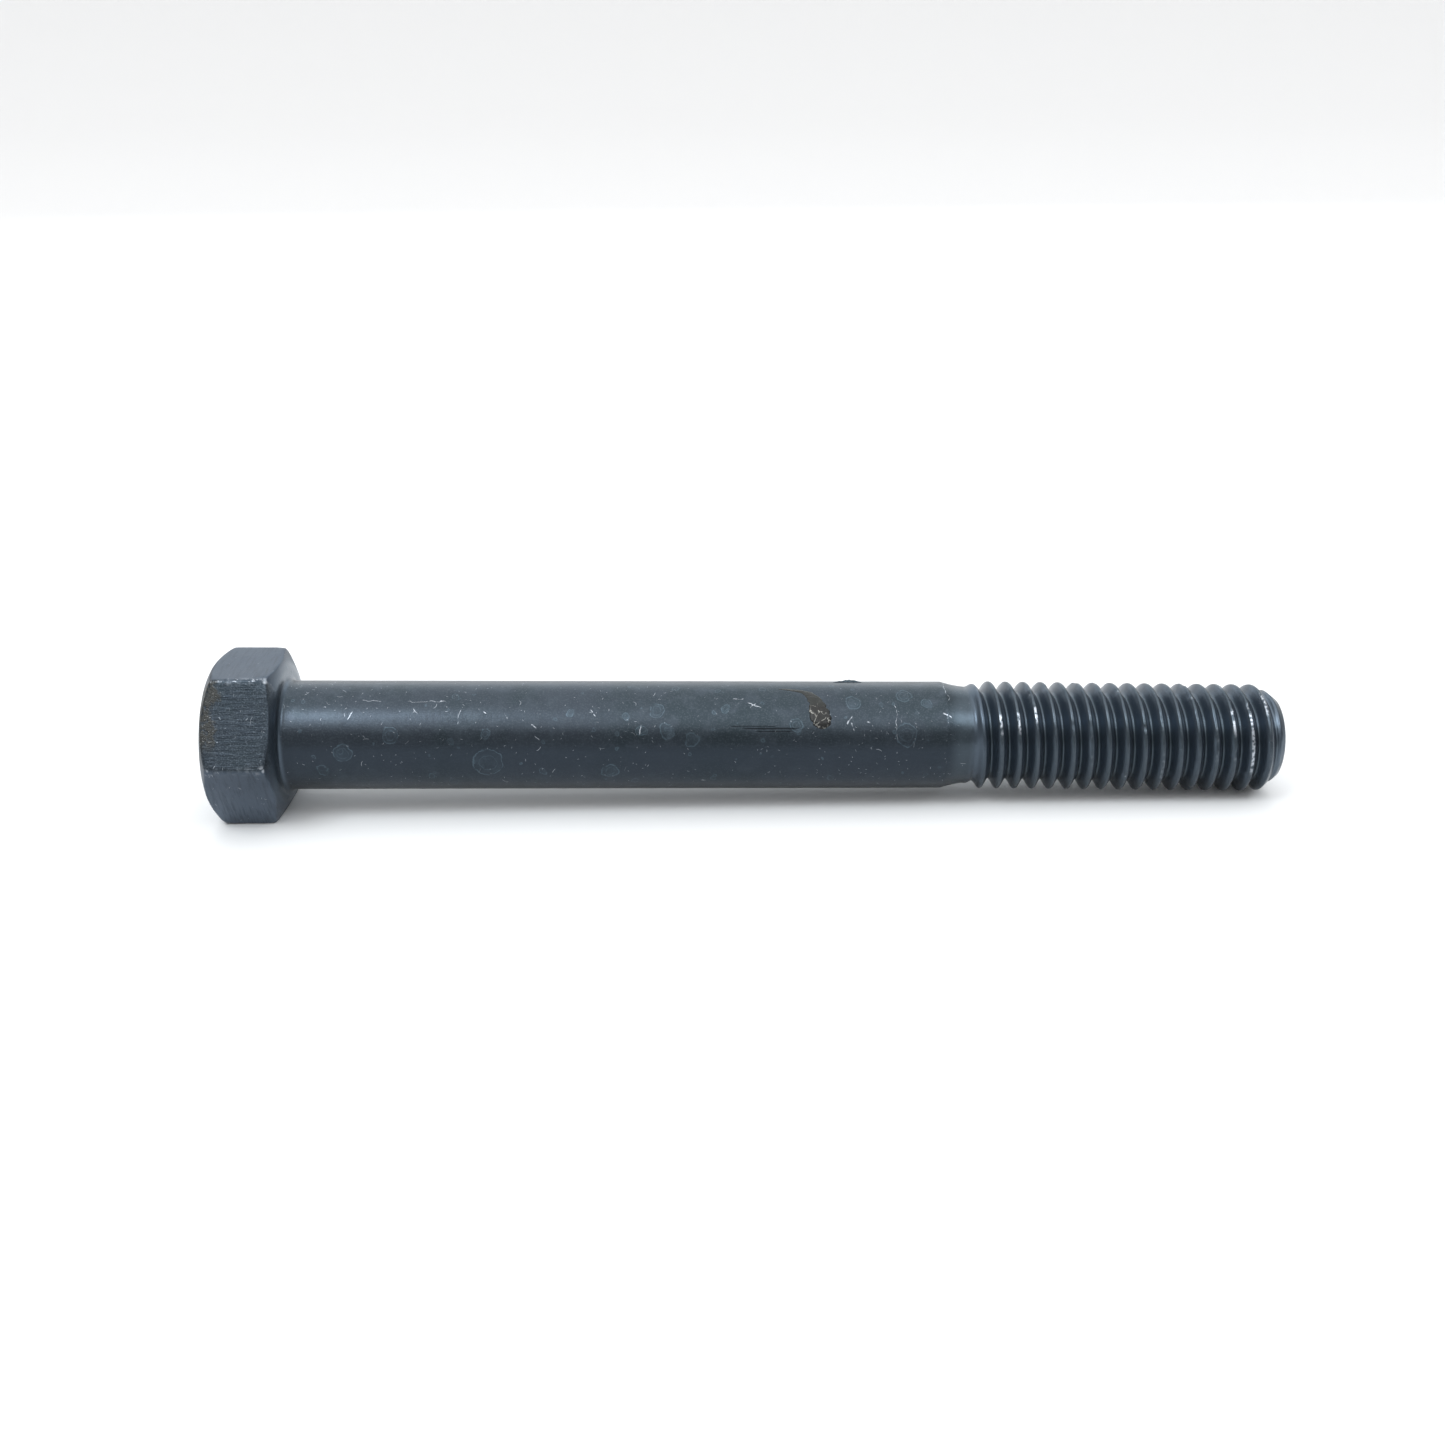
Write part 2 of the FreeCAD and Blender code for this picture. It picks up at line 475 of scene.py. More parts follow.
def skin_points(angles, columns):
    """Points of the skin in millimetres with their facts, and for each column its (key, vertex)."""
    points = [(-HEAD_HEIGHT, 0.0, 0.0)]
    outward = [(-1.0, 0.0, 0.0)]
    facts = [(1.0, 0.0, 0.0)]
    indexed = []
    for angle, rows in zip(angles, columns):
        column = []
        length = 0.0
        before = (-HEAD_HEIGHT, 0.0)
        for key, x, radius in rows:
            length += math.dist(before, (x, radius))
            before = (x, radius)
            on_end = key <= TOP_LAST_KEY or key > END_FIRST_KEY
            shift = 0.0 if on_end else skin_offset(x, angle)
            point = place(x, radius + shift, angle)
            if on_end:
                point.x += 0.030 * noise.noise(point / 2.5 + Vector((9.0, 9.0, 9.0)))
            column.append((key, len(points)))
            points.append(tuple(point))
            outward.append(tuple(place(0.0, 1.0, angle)))
            facts.append((thread_height(x, radius), worn(x, angle, radius), length))
        indexed.append(column)
    points.append((LENGTH, 0.0, 0.0))
    outward.append((1.0, 0.0, 0.0))
    facts.append((1.0, 0.0, 0.0))
    return np.array(points), np.array(outward), np.array(facts), indexed


def drooped(points):
    """The threaded end hangs a little, as the bar bent when it was rolled."""
    bend = np.maximum(0.0, points[:, 0] - SHOULDER_END) * DROOP
    points[:, 1] -= bend * math.sin(CAMERA_ELEVATION)
    points[:, 2] -= bend * math.cos(CAMERA_ELEVATION)
    return points


def skin_faces(points, arc, indexed):
    """Faces of the closed skin, and for each face its corners' places in the layout."""
    around_again = [
        (key - ROWS_PER_PITCH if HELIX_KEYS <= key < TIP_KEYS else key, vertex)
        for key, vertex in indexed[0]
    ]
    end_centre = len(points) - 1
    starts = [island_starts(column, arc) for column in indexed]
    starts.append(starts[0])
    indexed = indexed + [around_again]
    faces = []
    layout = []
    for number in range(COLUMNS):
        left = indexed[number]
        right = indexed[number + 1]
        first = ((0, 0, 0), (0, left[0][1], 0), (0, right[0][1], 1))
        last = (
            (END_CENTRE_KEY, left[-1][1], 0),
            (END_CENTRE_KEY, end_centre, 0),
            (END_CENTRE_KEY, right[-1][1], 1),
        )
        for corners in [first] + stitch(left, right) + [last]:
            island = island_of(corners[0][0])
            spots = []
            for _, vertex, side in corners:
                run = arc[vertex] - starts[number + side].get(island, 0.0)
                spots.append(spot(island, (number + side) / COLUMNS, run, points[vertex]))
            faces.append([vertex for _, vertex, _ in corners][::-1])
            layout.append(spots[::-1])
    return faces, layout


def added(name, data):
    """A new object in the scene that holds this mesh, light or camera."""
    thing = bpy.data.objects.new(name, data)
    bpy.context.collection.objects.link(thing)
    return thing


def bolt_object():
    """The whole bolt as one closed mesh in the row's frame, in metres."""
    angles = column_angles()
    points, outward, facts, indexed = skin_points(angles, build_columns(angles))
    hit = knocked_in(points, outward, knock_list())
    points = drooped(points)
    faces, layout = skin_faces(points, facts[:, 2], indexed)
    mesh = bpy.data.meshes.new("bolt_skin")
    mesh.from_pydata([tuple(p) for p in points * MM], [], faces)
    sheet = mesh.uv_layers.new(name="OFBake")
    sheet.data.foreach_set("uv", [value for spots in layout for at in spots for value in at])
    for name, values in (("height", facts[:, 0]), ("wear", facts[:, 1]), ("hit", hit)):
        mesh.attributes.new(name, "FLOAT", "POINT").data.foreach_set("value", values)
    mesh.shade_smooth()
    mesh.validate()
    return added("bolt_skin", mesh)


# ---------------------------------------------------------------- dried residue on the body

# Places of each deposit: (along the bolt, angle from image-up, half-width, thickness)
DRIED_RUN = [
    (49.7, 33, 0.06, 0.01), (50.6, 34, 0.16, 0.03), (51.5, 36, 0.20, 0.04), (52.3, 39, 0.28, 0.05),
    (53.0, 46, 0.58, 0.08), (53.4, 55, 0.76, 0.09), (53.6, 64, 0.95, 0.13), (53.8, 72, 1.10, 0.20),
    (53.9, 79, 0.90, 0.22), (53.9, 83, 0.40, 0.10), (53.9, 84, 0.06, 0.01),
]
DRIED_FLAKES = [
    [(55.4, 13, 0.05, 0.01), (56.0, 11, 0.22, 0.12), (56.8, 10, 0.30, 0.14), (57.6, 13, 0.10, 0.02)],
    [(56.4, 9, 0.05, 0.02), (56.7, 8, 0.30, 0.22), (57.5, 9, 0.30, 0.19), (58.3, 13, 0.08, 0.02)],
]
PATH_STEPS = 10
ROUND_STEPS = 28


def along_path(stops):
    """The stops of a deposit with smooth steps between them."""
    path = []
    for start, end in zip(stops, stops[1:]):
        for step in range(PATH_STEPS):
            t = step / PATH_STEPS
            path.append([a + (b - a) * t for a, b in zip(start, end)])
    path.append(list(stops[-1]))
    smoothed = []
    for index in range(len(path)):
        near = path[max(0, index - 4):index + 5]
        smoothed.append([sum(values) / len(near) for values in zip(*near)])
    return [path[0]] + smoothed[2:-2] + [path[-1]]


def deposit_points(path, seed):
    """Rings of points across a deposit's path, flat below, with an uneven edge and a crusted top."""
    points = []
    for index, (x, seen, half_width, thickness) in enumerate(path):
        before = path[max(0, index - 1)]
        after = path[min(len(path) - 1, index + 1)]
        run = Vector((after[0] - before[0], BODY_RADIUS * math.radians(after[1] - before[1])))
        side = Vector((-run.y, run.x)).normalized()
        for step in range(ROUND_STEPS):
            t = 2 * math.pi * step / ROUND_STEPS
            edge = 1 + 0.22 * noise.noise(Vector((x * 2.2, seen * 0.2 + 3 * math.cos(t), seed)))
            reach = half_width * math.cos(t) * edge
            lift = thickness * math.sin(t) if step < ROUND_STEPS / 2 else 0.08 * math.sin(t)
            crust = 0.5 * noise.noise(Vector((x * 3.1, reach * 4.0 + seen * 0.5, seed + 5)))
            lift *= 1 + crust
            angle = seen_angle(seen + math.degrees(side.y * reach / BODY_RADIUS))
            points.append(place(x + side.x * reach, body_radius(x) + lift, angle) * MM)
    return points


def deposit_object(name, stops, seed):
    """A flat closed lump that lies along a path on the body."""
    path = along_path(stops)
    points = deposit_points(path, seed)
    faces = []
    for index in range(len(path) - 1):
        for step in range(ROUND_STEPS):
            corner = index * ROUND_STEPS
            following = (step + 1) % ROUND_STEPS
            across = corner + ROUND_STEPS
            faces.append((corner + step, corner + following, across + following, across + step))
    faces.append(tuple(range(ROUND_STEPS))[::-1])
    faces.append(tuple(len(points) - ROUND_STEPS + step for step in range(ROUND_STEPS)))
    mesh = bpy.data.meshes.new(name)
    mesh.from_pydata(points, [], faces)
    mesh.shade_smooth()
    mesh.validate()
    return added(name, mesh)


# ---------------------------------------------------------------- shader helpers

def new_material(name):
    """A new material, its node tree and its shader."""
    material = bpy.data.materials.new(name)
    material.use_nodes = True
    tree = material.node_tree
    shader = tree.nodes["Principled BSDF"]
    return material, tree, shader


def feed(tree, socket, value):
    """Sets a socket from a number, a colour or another node's output."""
    if isinstance(value, bpy.types.NodeSocket):
        tree.links.new(value, socket)
    else:
        socket.default_value = value


def calc(tree, operation, a, b=0.0, c=0.0):
    """A sum on numbers or sockets."""
    node = tree.nodes.new("ShaderNodeMath")
    node.operation = operation
    for socket, value in zip(node.inputs, (a, b, c)):
        feed(tree, socket, value)
    return node.outputs[0]


def plus(tree, a, b):
    return calc(tree, "ADD", a, b)


def minus(tree, a, b):
    return calc(tree, "SUBTRACT", a, b)


def size_of(tree, value):
    """A value without its sign."""
    return calc(tree, "ABSOLUTE", value)


def gap(tree, a, b):
    """How far apart two values are."""
    return size_of(tree, minus(tree, a, b))


def both(tree, *values):
    """Product of several masks or numbers."""
    total = values[0]
    for value in values[1:]:
        total = calc(tree, "MULTIPLY", total, value)
    return total


def either(tree, *values):
    """The strongest of several masks."""
    total = values[0]
    for value in values[1:]:
        total = calc(tree, "MAXIMUM", total, value)
    return total


def outside(tree, mask):
    """Where a mask is not."""
    return minus(tree, 1.0, mask)


def between(tree, value, low, high):
    """0 below low, 1 above high, smooth between; low may be the larger one."""
    node = tree.nodes.new("ShaderNodeMapRange")
    node.interpolation_type = "SMOOTHSTEP"
    flip = low > high
    feed(tree, node.inputs["Value"], value)
    node.inputs["From Min"].default_value = min(low, high)
    node.inputs["From Max"].default_value = max(low, high)
    node.inputs["To Min"].default_value = 1.0 if flip else 0.0
    node.inputs["To Max"].default_value = 0.0 if flip else 1.0
    return node.outputs["Result"]


def vector_calc(tree, operation, a, b=(0.0, 0.0, 0.0)):
    """A sum on vectors; a distance or a length is a number."""
    node = tree.nodes.new("ShaderNodeVectorMath")
    node.operation = operation
    feed(tree, node.inputs[0], a)
    feed(tree, node.inputs[1], b)
    return node.outputs["Value" if operation in ("DISTANCE", "LENGTH") else "Vector"]


def joined(tree, x, y, z=0.0):
    node = tree.nodes.new("ShaderNodeCombineXYZ")
    for socket, value in zip(node.inputs, (x, y, z)):
        feed(tree, socket, value)
    return node.outputs[0]


def apart(tree, vector):
    """The three parts of a vector."""
    node = tree.nodes.new("ShaderNodeSeparateXYZ")
    tree.links.new(vector, node.inputs[0])
    return node.outputs


def stretched(tree, vector, scale):
    """A vector with its parts scaled: noise is drawn out along a part that is scaled down."""
    node = tree.nodes.new("ShaderNodeMapping")
    tree.links.new(vector, node.inputs["Vector"])
    node.inputs["Scale"].default_value = scale
    return node.outputs["Vector"]


def millimetres(tree):
    """The place on the object, in millimetres."""
    coordinates = tree.nodes.new("ShaderNodeTexCoord")
    return vector_calc(tree, "MULTIPLY", coordinates.outputs["Object"], (1 / MM, 1 / MM, 1 / MM))


def attribute(tree, name):
    """What the mesh says of each point."""
    node = tree.nodes.new("ShaderNodeAttribute")
    node.attribute_name = name
    return node.outputs["Fac"]


def noise_at(tree, vector, size, detail=4.0, rough=0.5):
    """Noise from 0 to 1 with features of about size millimetres."""
    node = tree.nodes.new("ShaderNodeTexNoise")
    tree.links.new(vector, node.inputs["Vector"])
    node.inputs["Scale"].default_value = 1.0 / size
    node.inputs["Detail"].default_value = detail
    node.inputs["Roughness"].default_value = rough
    return node.outputs["Fac"]


def cells(tree, vector, size, feature):
    """Random cells of about size millimetres."""
    node = tree.nodes.new("ShaderNodeTexVoronoi")
    node.feature = feature
    tree.links.new(vector, node.inputs["Vector"])
    node.inputs["Scale"].default_value = 1.0 / size
    return node


def lots_of(tree, cell):
    """The three random numbers from 0 to 1 that each cell draws."""
    node = tree.nodes.new("ShaderNodeSeparateColor")
    tree.links.new(cell.outputs["Color"], node.inputs[0])
    return node.outputs


def colour(red, green, blue):
    """A colour given as 0 to 255 on a screen, turned to the linear value that a shader takes."""
    def linear(v):
        v = v / 255
        return v / 12.92 if v <= 0.04045 else ((v + 0.055) / 1.055) ** 2.4
    return (linear(red), linear(green), linear(blue), 1.0)


def blend_colour(tree, factor, a, b):
    """From colour a to colour b; a Mix node has its colour sockets at 6 and 7, and its result at 2."""
    node = tree.nodes.new("ShaderNodeMix")
    node.data_type = "RGBA"
    feed(tree, node.inputs[0], factor)
    feed(tree, node.inputs[6], a)
    feed(tree, node.inputs[7], b)
    return node.outputs[2]


def laid_over(tree, base, layers):
    """A colour with others laid over it in turn: each has its mask, its strength and its colour."""
    for mask, strength, tint in layers:
        base = blend_colour(tree, both(tree, mask, strength), base, colour(*tint))
    return base


def add_relief(tree, shader, height):
    """Bump from a height in millimetres."""
    bump = tree.nodes.new("ShaderNodeBump")
    bump.inputs["Strength"].default_value = 1.0
    bump.inputs["Distance"].default_value = MM
    tree.links.new(height, bump.inputs["Height"])
    tree.links.new(bump.outputs["Normal"], shader.inputs["Normal"])


# ---------------------------------------------------------------- marks on the steel

# Water marks that stand out: place along the bolt, angle from image-up, radius
WATER_MARKS = [
    (37.4, 63.6, 0.72), (20.6, 120.3, 1.50), (11.0, 90.6, 0.80), (32.7, 131.0, 0.80),
    (38.4, 86.5, 0.72), (57.1, 53.9, 0.75), (62.3, 44.0, 0.75), (64.5, 55.0, 0.50),
    (20.4, 88.5, 0.50), (35.9, 85.6, 0.50), (6.3, 109.0, 0.90), (51.3, 80.0, 0.65),
    (28.8, 67.0, 0.40), (34.4, 70.0, 0.35), (62.3, 90.0, 1.10), (44.3, 62.0, 0.40),
]

# The scatter of small water marks: size of the cells that hold one each, share of them left empty
SMALL_MARKS = [(4.6, 0.68), (2.2, 0.60), (1.2, 0.66)]

# Scratches that stand out: from and to (along the bolt, angle from image-up), half-width, strength
SCRATCHES = [
    ((8.1, 52), (10.0, 53), 0.035, 0.6), ((12.6, 53), (16.4, 53), 0.030, 0.8),
    ((13.2, 61), (13.7, 67), 0.045, 1.0), ((7.2, 65), (6.8, 74), 0.040, 0.9),
    ((6.4, 66), (6.5, 71), 0.030, 0.8), ((18.0, 63), (17.7, 73), 0.035, 0.7),
    ((20.2, 65), (20.5, 67), 0.070, 1.0), ((22.3, 67), (22.6, 73), 0.050, 0.9),
    ((29.4, 50), (29.5, 54), 0.060, 0.9), ((30.8, 63), (31.3, 71), 0.045, 1.0),
    ((24.9, 79), (25.5, 83), 0.070, 1.0), ((25.3, 91), (25.8, 95), 0.050, 0.9),
    ((35.9, 80), (35.7, 90), 0.045, 0.9), ((45.0, 49), (46.1, 49), 0.040, 1.0),
    ((46.5, 54), (47.8, 61), 0.060, 1.0), ((46.7, 60), (47.3, 55), 0.050, 1.0),
    ((41.6, 145), (42.4, 146), 0.080, 0.8), ((56.9, 70), (56.4, 79), 0.060, 0.9),
    ((56.8, 77), (57.1, 86), 0.050, 0.9), ((58.4, 76), (58.7, 77), 0.100, 1.0),
    ((61.3, 57), (61.4, 96), 0.035, 0.8), ((66.6, 16), (66.7, 52), 0.040, 0.8),
    ((66.1, 66), (66.9, 72), 0.080, 0.9), ((50.7, 75), (50.9, 76), 0.080, 1.0),
]

# The scatter of short scratches: size of the cells, half-length, half-width, share of them left empty
LOOSE_SCRATCHES = [(2.9, 0.34, 0.032, 0.74), (1.5, 0.15, 0.026, 0.64), (0.8, 0.09, 0.024, 0.70)]

# Dark lines drawn along the body: from, to, angle from image-up, half-width
DRAWN_LINES = [(45.7, 51.8, 83.5, 0.10), (47.0, 51.2, 86.5, 0.07), (44.4, 49.6, 81.0, 0.05)]


def water_marks(tree, wobbly):
    """Thin rings with faint insides where drops dried: the chosen ones and a scatter of small ones."""
    rings = 0.0
    insides = 0.0
    for x, seen, radius in WATER_MARKS:
        centre = place(x, BODY_RADIUS, seen_angle(seen))
        away = vector_calc(tree, "DISTANCE", wobbly, tuple(centre))
        outer = between(tree, gap(tree, away, radius), 0.085, 0.02)
        inner = between(tree, gap(tree, away, radius * 0.58), 0.06, 0.01)
        rings = either(tree, rings, outer, both(tree, inner, 0.6))
        insides = either(tree, insides, between(tree, away, radius, radius * 0.85))
    for size, share in SMALL_MARKS:
        drops = cells(tree, wobbly, size, "F1")
        lots = lots_of(tree, drops)
        radius = calc(tree, "MULTIPLY_ADD", lots[1], 0.13, 0.07)
        off = minus(tree, drops.outputs["Distance"], radius)
        kept = between(tree, lots[0], share, share + 0.25)
        ring = between(tree, size_of(tree, off), 0.07 / size, 0.015 / size)
        rings = either(tree, rings, both(tree, ring, kept, 0.75))
        insides = either(tree, insides, both(tree, between(tree, off, 0.02, -0.02), kept, 0.8))
    return rings, insides


def along_and_aside(tree, x, y, cosine, sine):
    """How far a place lies along a direction, and beside it."""
    forward = plus(tree, both(tree, x, cosine), both(tree, y, sine))
    aside = minus(tree, both(tree, y, cosine), both(tree, x, sine))
    return forward, aside


def chosen_scratches(tree, along, around, shake):
    """The scratches of the list, as shaky lines on the unrolled skin."""
    total = 0.0
    for start, end, half_width, strength in SCRATCHES:
        start_arc = BODY_RADIUS * seen_angle(start[1])
        run = Vector((end[0] - start[0], BODY_RADIUS * seen_angle(end[1]) - start_arc))
        heading = run.normalized()
        x = minus(tree, along, start[0])
        y = minus(tree, around, start_arc)
        forward, aside = along_and_aside(tree, x, y, heading.x, heading.y)
        off = gap(tree, both(tree, shake, 0.55 * run.length**0.5), aside)
        from_middle = gap(tree, forward, run.length / 2)
        inside = between(tree, from_middle, run.length / 2 + 0.05, run.length / 2 - 0.15)
        line = between(tree, off, half_width * 1.1, half_width * 0.2)
        total = either(tree, total, both(tree, inside, line, strength))
    return total


def scattered_scratches(tree, unrolled, size, half_length, half_width, share):
    """Short bent scratches, one to a cell of the unrolled skin, each at its own angle."""
    node = cells(tree, unrolled, size, "F1")
    node.voronoi_dimensions = "2D"
    lots = lots_of(tree, node)
    from_centre = apart(tree, vector_calc(tree, "SUBTRACT", unrolled, node.outputs["Position"]))
    turn = both(tree, lots[0], 2 * math.pi)
    cosine = calc(tree, "COSINE", turn)
    sine = calc(tree, "SINE", turn)
    forward, aside = along_and_aside(tree, from_centre[0], from_centre[1], cosine, sine)
    bend = both(tree, minus(tree, lots[1], 0.5), 1.4 / half_length)
    off = size_of(tree, plus(tree, aside, both(tree, bend, calc(tree, "POWER", forward, 2.0))))
    line = between(tree, off, half_width, half_width * 0.3)
    ends = between(tree, size_of(tree, forward), half_length, half_length * 0.6)
    return both(tree, line, ends, between(tree, lots[2], share, share + 0.15))


def drawn_lines(tree, along, around, shake):
    """The dark lines drawn along the body."""
    total = 0.0
    for start, end, seen, half_width in DRAWN_LINES:
        half_length = (end - start) / 2
        off = plus(tree, minus(tree, around, BODY_RADIUS * seen_angle(seen)), both(tree, shake, 0.15))
        line = between(tree, size_of(tree, off), half_width, half_width * 0.5)
        from_middle = gap(tree, along, (start + end) / 2)
        inside = between(tree, from_middle, half_length, half_length - 0.8)
        total = either(tree, total, both(tree, line, inside))
    return total


# ---------------------------------------------------------------- the blackened steel

def skin_facts(tree):
    """What the steel's shader knows of a place on the skin: where it lies, what the mesh says of it,
    noises from broad to fine, and which part of the bolt it is on."""
    s = SimpleNamespace()
    s.where = millimetres(tree)
    s.along, s.across, s.upward = apart(tree, s.where)
    s.angle = calc(tree, "ARCTAN2", both(tree, s.across, -1.0), s.upward)
    s.around = both(tree, s.angle, BODY_RADIUS)
    s.off_axis = vector_calc(tree, "LENGTH", joined(tree, s.across, s.upward))
    s.unrolled = joined(tree, s.along, s.around)

    shaken = tree.nodes.new("ShaderNodeTexNoise")
    tree.links.new(s.where, shaken.inputs["Vector"])
    shaken.inputs["Scale"].default_value = 1.1
    shaken.inputs["Detail"].default_value = 3.0
    centred = vector_calc(tree, "SUBTRACT", shaken.outputs["Color"], (0.5, 0.5, 0.5))
    wobble = vector_calc(tree, "MULTIPLY", centred, (0.75, 0.75, 0.75))
    s.wobbly = vector_calc(tree, "ADD", s.where, wobble)
    s.shake = apart(tree, centred)[0]

    s.height = attribute(tree, "height")
    s.wear = attribute(tree, "wear")
    s.hit = attribute(tree, "hit")

    s.broad = noise_at(tree, s.where, 9.0, 4.0, 0.6)
    s.medium = noise_at(tree, s.where, 1.6, 5.0, 0.6)
    s.small = noise_at(tree, s.where, 0.55, 3.0, 0.6)
    s.grain = noise_at(tree, s.where, 0.16, 3.0, 0.6)
    s.lengthwise = noise_at(tree, stretched(tree, s.where, (0.10, 1.0, 1.0)), 0.28, 4.0, 0.6)
    s.crosswise = noise_at(tree, stretched(tree, s.where, (1.0, 0.10, 0.10)), 0.25, 3.0, 0.6)

    s.on_head = between(tree, s.along, -0.10, -0.35)
    s.on_thread = between(tree, s.along, THREAD_START - 0.3, THREAD_START + 0.8)
    s.on_body = minus(tree, outside(tree, s.on_head), s.on_thread)
    s.on_flat = both(
        tree,
        between(tree, s.angle, 0.49, 0.56),
        between(tree, s.angle, 1.60, 1.54),
        between(tree, s.off_axis, 6.9, 7.4),
    )
    return s


def oxide_colours(tree, s):
    """Black-blue oxide in paler and darker patches, with a fine grain, and a painted shade that darkens
    the shank's low side towards the camera.
    """
    # Painted shade: the lower front of the shank and thread is darkened, away from the head
    painted_shade_low_side = both(
        tree,
        between(tree, s.across, -1.0, -3.0),
        between(tree, s.upward, 2.0, 0.6),
        between(tree, s.upward, -4.6, 0.2),
    )
    return laid_over(tree, colour(50, 59, 65), [
        (between(tree, s.broad, 0.38, 0.62), 1.0, (57, 64, 72)),
        (between(tree, s.medium, 0.45, 0.75), 1.0, (63, 71, 79)),
        (both(tree, between(tree, s.lengthwise, 0.52, 0.72), s.on_flat), 0.8, (48, 55, 63)),
        (between(tree, s.grain, 0.48, 0.66), 0.6, (71, 79, 86)),
        (both(tree, painted_shade_low_side, outside(tree, s.on_head)), 0.80, (42, 49, 57)),
    ])


def burnt_scale(tree, s):
    """The brown scale on one flat: in its upper part, from the head's top to an uneven border."""
    high_up = between(tree, s.upward, 3.0, 6.5)
    border = plus(tree, calc(tree, "MULTIPLY_ADD", s.medium, 5.0, -8.1), both(tree, high_up, 0.2))
    inside = between(tree, minus(tree, s.along, border), 0.4, -0.4)
    scale = both(tree, s.on_head, s.on_flat, inside)
    return both(tree, scale, between(tree, s.upward, 1.2, 3.0), between(tree, s.small, 0.32, 0.52))


def head_colours(tree, s, burnt, oxide):
    """The head, streaked across: one flat dark, pitted and burnt, the others paler, and its downward
    faces lighter still, a painted reflection of the floor.
    """
    flat = both(tree, s.on_head, s.on_flat)
    elsewhere = both(tree, s.on_head, outside(tree, s.on_flat))
    return laid_over(tree, oxide, [
        (flat, 0.5, (48, 55, 62)),
        (elsewhere, 0.75, (72, 82, 95)),
        # Painted reflection: the faces that look down are lightened as if lit from the floor below
        (both(tree, s.on_head, between(tree, s.upward, -1.0, -6.5)), 0.7, (94, 105, 118)),
        (both(tree, s.on_head, between(tree, s.crosswise, 0.44, 0.68)), 0.40, (46, 53, 62)),
        (both(tree, flat, between(tree, s.grain, 0.50, 0.66)), 0.42, (92, 100, 108)),
        (burnt, 0.75, (64, 63, 59)),
        (both(tree, burnt, between(tree, s.grain, 0.64, 0.72)), 1.0, (170, 168, 162)),
    ])


def paler_places(tree, s, oxide):
    """A painted highlight on the fillet, then the neck, the thread's flanks and the tip with its rings.
    """
    # Painted highlight: the fillet under the head is lightened as if catching light
    painted_fillet_highlight = both(tree, between(tree, s.along, -0.60, -0.15), between(tree, s.along, 0.50, 0.05))
    on_neck = between(tree, s.along, SHOULDER_START, SHOULDER_START + 1.5)
    below_crest = between(tree, s.height, 0.99, 0.80)
    above_root = between(tree, s.height, 0.02, 0.20)
    on_tip = between(tree, s.along, LENGTH - 1.9, LENGTH - 1.3)
    ringed = noise_at(tree, stretched(tree, s.where, (1.0, 0.08, 0.08)), 0.22, 3.0, 0.6)
    return laid_over(tree, oxide, [
        (painted_fillet_highlight, 0.7, (90, 102, 114)),
        (on_neck, 0.5, (74, 84, 92)),
        (both(tree, s.on_thread, below_crest, above_root), 0.8, (78, 88, 99)),
        (on_tip, 0.7, (92, 102, 112)),
        (both(tree, on_tip, between(tree, ringed, 0.50, 0.62)), 0.7, (56, 64, 72)),
    ])


def off_the_ends(tree, s):
    """Everywhere but the two flat ends and the bearing face."""
    off_top = between(tree, s.along, 0.10 - HEAD_HEIGHT, 0.30 - HEAD_HEIGHT)
    off_tip = between(tree, s.along, LENGTH - 0.1, LENGTH - 0.3)
    off_bearing_face = between(tree, gap(tree, s.along, -0.05), 0.30, 0.50)
    return both(tree, off_top, off_tip, off_bearing_face)


def bare_steel(tree, s):
    """Where the steel is bare, from 0 to 1: scratches, rubbed places, a nicked corner and knocks."""
    chosen = chosen_scratches(tree, s.along, s.around, s.shake)
    chosen = both(tree, chosen, between(tree, s.small, 0.38, 0.56), s.on_body)
    loose = either(tree, *(
        both(tree, scattered_scratches(tree, s.unrolled, *kind), 0.6) for kind in LOOSE_SCRATCHES
    ))
    in_patches = between(tree, s.broad, 0.32, 0.54)
    fewer_on_thread = calc(tree, "MULTIPLY_ADD", s.on_thread, -0.7, 1.0)
    loose = both(tree, loose, in_patches, fewer_on_thread, off_the_ends(tree, s))
    rubbed = both(tree, s.wear, between(tree, noise_at(tree, s.where, 0.30, 2.0), 0.34, 0.54))
    corner = both(
        tree,
        between(tree, gap(tree, s.angle, math.pi / 6), 0.040, 0.008),
        s.on_head,
        between(tree, s.off_axis, 7.7, 8.2),
    )
    uneven = [between(tree, s.small, 0.50, 0.60), between(tree, s.grain, 0.46, 0.56)]
    nicked = both(tree, corner, *uneven, 0.8)
    knocked = both(tree, between(tree, s.hit, 0.60, 0.95), between(tree, s.medium, 0.45, 0.60), 0.8)
    return calc(tree, "MINIMUM", either(tree, chosen, loose, rubbed, nicked, knocked), 1.0)


def steel_relief(tree, s, burnt, rings, lines):
    """Unevenness too fine for the mesh, in millimetres outwards."""
    total = both(tree, s.grain, 0.010)
    for part in (
        both(tree, s.medium, 0.018),
        both(tree, s.lengthwise, s.on_flat, s.on_head, 0.050),
        both(tree, s.crosswise, s.on_body, 0.008),
        both(tree, s.on_flat, s.on_head, s.small, 0.035),
        both(tree, burnt, s.grain, 0.06),
        both(tree, rings, 0.006),
        both(tree, lines, -0.05),
    ):
        total = plus(tree, total, part)
    return total


